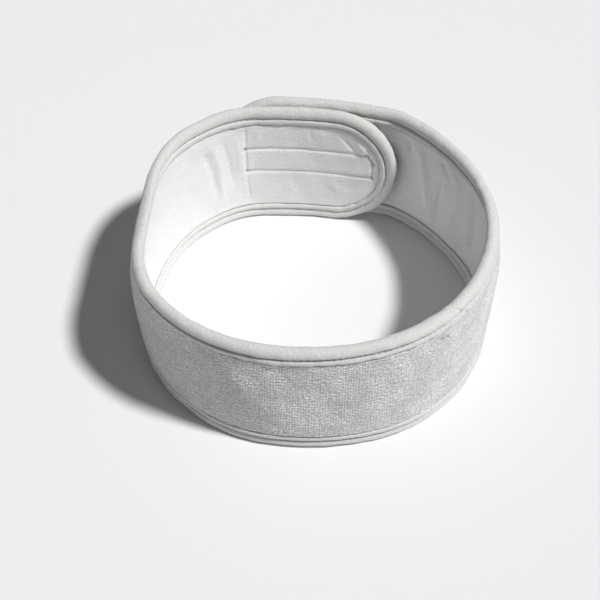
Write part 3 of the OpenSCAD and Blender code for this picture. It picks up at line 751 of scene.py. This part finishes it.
def thread_paint():
    paint = Paint("thread", roughness=0.55, sheen_weight=0.15)
    ply = paint.node("ShaderNodeTexWave", {"wave_type": "BANDS", "bands_direction": "DIAGONAL"},
                     {"Vector": paint.lie(), "Scale": 0.9, "Distortion": 0.4}, "Fac")
    # Painted shade: where the ply is low, between its twists, the thread goes to the darker colour
    return paint.finish(paint.mixed(ply, (*THREAD_SHADE, 1), (*THREAD_COLOUR, 1)), ply, 0.06)


thread_material = thread_paint()
stitch_count = round(LAID / STITCH_PITCH)
stitch_start = np.arange(stitch_count) * LAID / stitch_count + 0.35
starts = np.stack(edge(stitch_start, GROOVE), -1)
stops = np.stack(edge(stitch_start + LAID / stitch_count - 0.7, GROOVE), -1)
for side, face in ((1, "outer"), (-1, "inner")):
    for name, start, end, first, second, bend_from, bend_to in LENGTHS:
        here = ((starts + stops)[:, 0] / 2 >= start) & ((starts + stops)[:, 0] / 2 < end)
        piece = stitch_mesh(f"{name}_{face}_stitches", np.stack([starts, stops], 1)[here], side, 2.12)
        piece.data.materials.append(thread_material)
        stands_for(first, second,
                   [f"{face}_edge_thread", f"{face}_top_thread", f"{face}_bottom_thread"])
        crossing(piece, first, second, bend_from, bend_to)

# The tail of the last stitches lies loose on the terry, just below the lip
TAIL = [((373.4, 58.6), (377.0, 57.4)), ((376.6, 57.5), (378.6, 55.4))]
tail = stitch_mesh("thread_tail", TAIL, 1, TERRY_FACE + PUFF + 0.3)
tail.data.materials.append(thread_material)
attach(tail, "band")

# ---- Loop tape ----
# A strip of brushed nylon loops on a woven base, on the outer face of the inner end. One line of
# stitches goes round it and through all the layers, so it shows on the other face too.
TAPE_COLOUR, TAPE_SHADE = (0.84, 0.84, 0.85), (0.66, 0.66, 0.68)
TAPE_SEAT, TAPE_BASE, LOOP_PILE = 2.6, 0.4, 0.6
PILE_IN = 2.0


def past_corner(s, z):
    """Distance in from the cut-off corner, which goes 3.5 along the tape and 5 down its end."""
    return ((s - TAPE_FROM) * 5 + (TAPE_HIGH - z) * 3.5 - 3.5 * 5) / math.hypot(5, 3.5)


def tape_grid(step, mirrored):
    s, z = (np.linspace(low, high, round((high - low) / step) + 1)
            for low, high in ((TAPE_FROM, TAPE_TO), (TAPE_LOW, TAPE_HIGH)))
    s, z = np.meshgrid(s, z, indexing="ij")
    # from_edge is the distance to the nearest side, with the cut-off corner as a fifth side
    corner = past_corner(s, z)
    from_edge = np.minimum.reduce([s - TAPE_FROM, TAPE_TO - s, z - TAPE_LOW, TAPE_HIGH - z, corner])
    return (WALL - s if mirrored else s), z, from_edge


def tape_paint(name, cell, reach):
    paint = Paint(name, roughness=0.5, sheen_weight=0.3)
    lie = paint.lie()
    curls = paint.node("ShaderNodeTexVoronoi", {"feature": "F1"}, {"Vector": lie, "Scale": 1 / cell})
    fuzz = paint.noise(paint.stretched(lie, (1, 2.5, 1)), cell / 2, 4)
    height = fuzz * 0.7 + (1 - curls) * 0.4
    # Painted shade: where the pile is low, the tape goes to the darker colour
    return paint.finish(paint.mixed(paint.range(height, 0.4, 0.8), (*TAPE_SHADE, 1), (*TAPE_COLOUR, 1)),
                        height, reach)


def tape_stitches(name, mirrored, side, level, pitch=2.4):
    """Stitches round a tape, on the face named by side."""
    outline = tape_outline(mirrored)
    stitches = []
    for a, b in zip(outline, outline[1:] + outline[:1]):
        a, b = np.array(a), np.array(b)
        number = max(1, round(np.linalg.norm(b - a) / pitch))
        for k in range(number):
            stitches.append((a + (b - a) * (k + 0.1) / number, a + (b - a) * (k + 0.9) / number))
    piece = stitch_mesh(name, stitches, side, level)
    piece.data.materials.append(thread_material)
    return piece


s, z, from_edge = tape_grid(0.5, False)
luck = np.random.default_rng(71)
every_other = np.indices(s.shape).sum(0) % 2
pile = smooth(PILE_IN - 0.4, PILE_IN + 0.5, from_edge) * (
    LOOP_PILE - 0.18 + 0.3 * luck.random(s.shape) * every_other)
kept = lowest_corner(from_edge) > -0.2
loop_tape = slab("loop_tape_strip", s, z, kept,
                 TAPE_SEAT + TAPE_BASE * smooth(-0.4, 0.5, from_edge) + pile, TAPE_SEAT, 1)
loop_tape.data.materials.append(tape_paint("loop_tape", 0.7, 0.3))
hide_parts("loop_tape")
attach(loop_tape, "inner_end")
loop_sewing = tape_stitches("loop_tape_stitches", False, 1, TAPE_SEAT + TAPE_BASE + 0.14)
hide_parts("loop_tape_thread")
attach(loop_sewing, "inner_end")
loop_back_sewing = tape_stitches("loop_tape_back_stitches", False, -1, TERRY_FACE - SEAM_PULL + 0.3)
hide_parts("loop_tape_back_thread")
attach(loop_back_sewing, "inner_end")

# ---- Hook tape ----
# The matching strip on the inner face of the closing end: rows of small stiff nylon hooks, all bent the
# same way, on a woven base. It is sewn like the loop tape, and its stitches show on the outer face.
HOOK_PILE, HOOK_ROW, HOOK_GAP = 0.7, 1.5, 1.25
s, z, from_edge = tape_grid(0.5, True)
kept = lowest_corner(from_edge) > -0.2
hook_tape = slab("hook_tape_strip", s[::-1], z[::-1], kept[::-1],
                 (TAPE_SEAT + TAPE_BASE * smooth(-0.4, 0.5, from_edge)
                  + 0.05 * np.cos(z * 2 * math.pi / 1.0))[::-1], TAPE_SEAT, -1)
hook_tape.data.materials.append(tape_paint("hook_tape_base", 0.5, 0.12))


def hooks():
    """Small bent hooks, thin rods that rise from the base and curl over towards the next row."""
    across = np.arange(TAPE_LOW + PILE_IN + 0.5, TAPE_HIGH - PILE_IN - 0.2, HOOK_ROW)
    along = np.arange(TAPE_FROM + PILE_IN + 0.6, TAPE_TO - PILE_IN - 0.4, HOOK_GAP)
    foot_s, foot_z = (grid.ravel() for grid in np.meshgrid(along, across))
    clear = past_corner(foot_s, foot_z) > PILE_IN
    foot_s, foot_z = foot_s[clear], foot_z[clear]
    luck = np.random.default_rng(77)
    lean = luck.uniform(-0.12, 0.12, (2, len(foot_s)))[1]
    stem = HOOK_PILE - 0.3
    curl = np.radians((0, 45, 90, 135, 180))
    rise = np.array([-0.15, 0.1, *(stem - 0.05 + 0.22 * np.sin(curl))])
    reach = np.array([0, 0, *(0.22 - 0.22 * np.cos(curl))])
    sides = np.arange(5) * 2 * math.pi / 5
    thick = np.linspace(0.11, 0.06, len(rise))
    side_s, side_z = thick[:, None] * np.cos(sides), thick[:, None] * np.sin(sides)
    # A ring of the rod stands across its own way up, over and down
    way = np.gradient(np.stack([reach, rise], -1), axis=0)
    way /= np.linalg.norm(way, axis=1, keepdims=True)
    hook_s = foot_s[:, None, None] + reach[None, :, None] + side_s * way[:, None, 1]
    hook_out = rise[None, :, None] - side_s * way[:, None, 0]
    hook_z = foot_z[:, None, None] + side_z[None] + lean[:, None, None] * rise[None, :, None]
    hook_out = TAPE_SEAT + TAPE_BASE + np.broadcast_to(hook_out, hook_s.shape)
    points = place(WALL - hook_s, hook_z, -hook_out).reshape(-1, 3)
    number = np.arange(hook_s.size).reshape(hook_s.shape)
    a, b = number[:, :-1], number[:, 1:]
    quads = np.stack([a, np.roll(a, -1, 2), np.roll(b, -1, 2), b], -1).reshape(-1, 4)
    caps = [ring.tolist() for ring in number[:, 0, ::-1]] + [ring.tolist() for ring in number[:, -1]]
    lie = np.stack(np.broadcast_arrays(hook_s, hook_z, hook_out), -1).reshape(-1, 3)
    return ready_mesh("hook_tape_hooks", points, quads.tolist() + caps, None, lie)


hook_rows = hooks()
hook_rows.data.materials.append(tape_paint("hooks", 0.3, 0.03))
hook_sewing = tape_stitches("hook_tape_stitches", True, -1, TAPE_SEAT + TAPE_BASE + 0.14)
hook_back_sewing = tape_stitches("hook_tape_back_stitches", True, 1, TERRY_FACE + PUFF - SEAM_PULL)
for piece, nodes in ((hook_tape, ["flap_hook_tape", "flap_tip_hook_tape"]),
                     (hook_rows, ["flap_hook_tape", "flap_tip_hook_tape"]),
                     (hook_sewing, ["flap_hook_tape_thread", "flap_tip_hook_tape_thread"]),
                     (hook_back_sewing, ["flap_hook_tape_back_thread", "flap_tip_hook_tape_back_thread"])):
    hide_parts(*nodes)
    crossing(piece, "flap", "flap_tip", *TIP_BEND)
